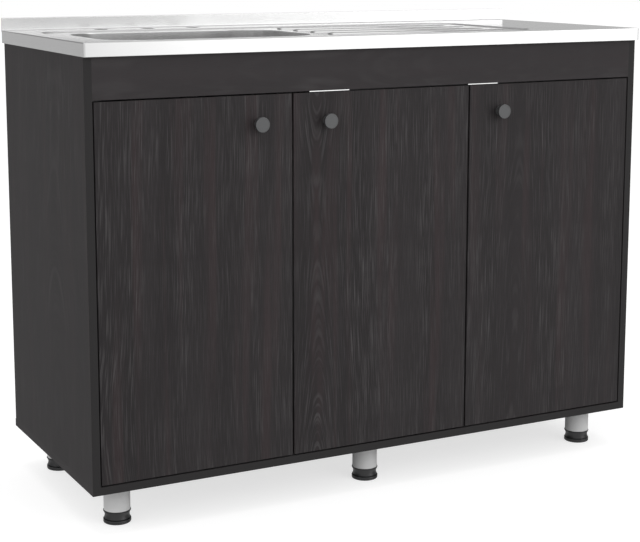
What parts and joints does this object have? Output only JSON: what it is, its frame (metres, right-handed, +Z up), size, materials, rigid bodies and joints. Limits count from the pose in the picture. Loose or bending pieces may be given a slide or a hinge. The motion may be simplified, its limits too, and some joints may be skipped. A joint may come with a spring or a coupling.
{
  "type": "kitchen sink unit",
  "caption": "Free-standing kitchen sink unit: stainless steel bowl and ribbed drainboard on a dark wood-grain cupboard with hinged doors, round knobs and levelling legs.",
  "frame": {"origin": "centre of the footprint on the floor", "axes": "+X to the right along the width seen from the front, +Y to the back, +Z up"},
  "size_m": [1.2, 0.51, 0.9188],
  "materials": {
    "board": "dark wood-grain laminate, satin",
    "steel": "smooth pressed stainless steel",
    "basket_steel": "polished stainless steel",
    "tube_metal": "satin grey metal",
    "knob_metal": "satin dark nickel",
    "zinc": "zinc plated",
    "black_plastic": "matt black",
    "white_plastic": "plain white",
    "rubber": "matt black",
    "dowel_wood": "plain beech"
  },
  "bodies": {
    "unit": {"base_panel": "board", "side_panel_left": "board", "side_panel_right": "board", "header_rail": "board", "rear_top_rail": "board", "rear_bottom_rail": "board", "partition": "board", "shelf": "board", "shelf_pins": "zinc", "carcass_screws": "zinc", "rail_dowels": "dowel_wood", "sink_top": "steel", "sink_bowl": "steel", "strainer_body": "steel", "strainer_gasket": "rubber", "strainer_nut": "white_plastic", "tailpiece": "white_plastic", "tailpiece_nut": "white_plastic", "top_brackets": "zinc", "top_bracket_screws": "zinc", "hinge_plates": "zinc", "hinge_arms": "zinc", "hinge_plate_screws": "zinc", "leg_sockets": "black_plastic", "leg_plugs": "black_plastic", "leg_screws": "zinc", "leg_tube_front_left": "tube_metal", "leg_tube_front_middle": "tube_metal", "leg_tube_front_right": "tube_metal", "leg_tube_rear_left": "tube_metal", "leg_tube_rear_middle": "tube_metal", "leg_tube_rear_right": "tube_metal"},
    "left_door": {"door_left": "board", "knob_left": "knob_metal", "knob_screw_left": "zinc", "hinge_cups_left": "zinc", "hinge_pins_left": "zinc", "hinge_cup_screws_left": "zinc"},
    "middle_door": {"door_middle": "board", "knob_middle": "knob_metal", "knob_screw_middle": "zinc", "hinge_cups_middle": "zinc", "hinge_pins_middle": "zinc", "hinge_cup_screws_middle": "zinc"},
    "right_door": {"door_right": "board", "knob_right": "knob_metal", "knob_screw_right": "zinc", "hinge_cups_right": "zinc", "hinge_pins_right": "zinc", "hinge_cup_screws_right": "zinc"},
    "front_left_foot": {"foot_front_left": "black_plastic"},
    "front_middle_foot": {"foot_front_middle": "black_plastic"},
    "front_right_foot": {"foot_front_right": "black_plastic"},
    "rear_left_foot": {"foot_rear_left": "black_plastic"},
    "rear_middle_foot": {"foot_rear_middle": "black_plastic"},
    "rear_right_foot": {"foot_rear_right": "black_plastic"},
    "basket": {"strainer_basket": "basket_steel"}
  },
  "joints": [
    {"name": "left_door_hinge", "type": "hinge", "parent": "unit", "child": "left_door", "pos_m": [-0.5743, -0.2294, 0.444], "axis": [0, 0, -1], "range_deg": [0, 95], "stiffness_Nm_per_rad": 0.25, "springref_deg": -68.75},
    {"name": "middle_door_hinge", "type": "hinge", "parent": "unit", "child": "middle_door", "pos_m": [0.18455, -0.2294, 0.444], "axis": [0, 0, 1], "range_deg": [0, 95], "stiffness_Nm_per_rad": 0.25, "springref_deg": -68.75},
    {"name": "right_door_hinge", "type": "hinge", "parent": "unit", "child": "right_door", "pos_m": [0.5743, -0.2294, 0.444], "axis": [0, 0, 1], "range_deg": [0, 95], "stiffness_Nm_per_rad": 0.25, "springref_deg": -68.75},
    {"name": "front_left_foot_level", "type": "slide", "parent": "unit", "child": "front_left_foot", "axis": [0, 0, -1], "range_m": [0, 0.012]},
    {"name": "front_middle_foot_level", "type": "slide", "parent": "unit", "child": "front_middle_foot", "axis": [0, 0, -1], "range_m": [0, 0.012]},
    {"name": "front_right_foot_level", "type": "slide", "parent": "unit", "child": "front_right_foot", "axis": [0, 0, -1], "range_m": [0, 0.012]},
    {"name": "rear_left_foot_level", "type": "slide", "parent": "unit", "child": "rear_left_foot", "axis": [0, 0, -1], "range_m": [0, 0.012]},
    {"name": "rear_middle_foot_level", "type": "slide", "parent": "unit", "child": "rear_middle_foot", "axis": [0, 0, -1], "range_m": [0, 0.012]},
    {"name": "rear_right_foot_level", "type": "slide", "parent": "unit", "child": "rear_right_foot", "axis": [0, 0, -1], "range_m": [0, 0.012]},
    {"name": "basket_lift", "type": "slide", "parent": "unit", "child": "basket", "axis": [0, 0, 1], "range_m": [0, 0.03]}
  ]
}
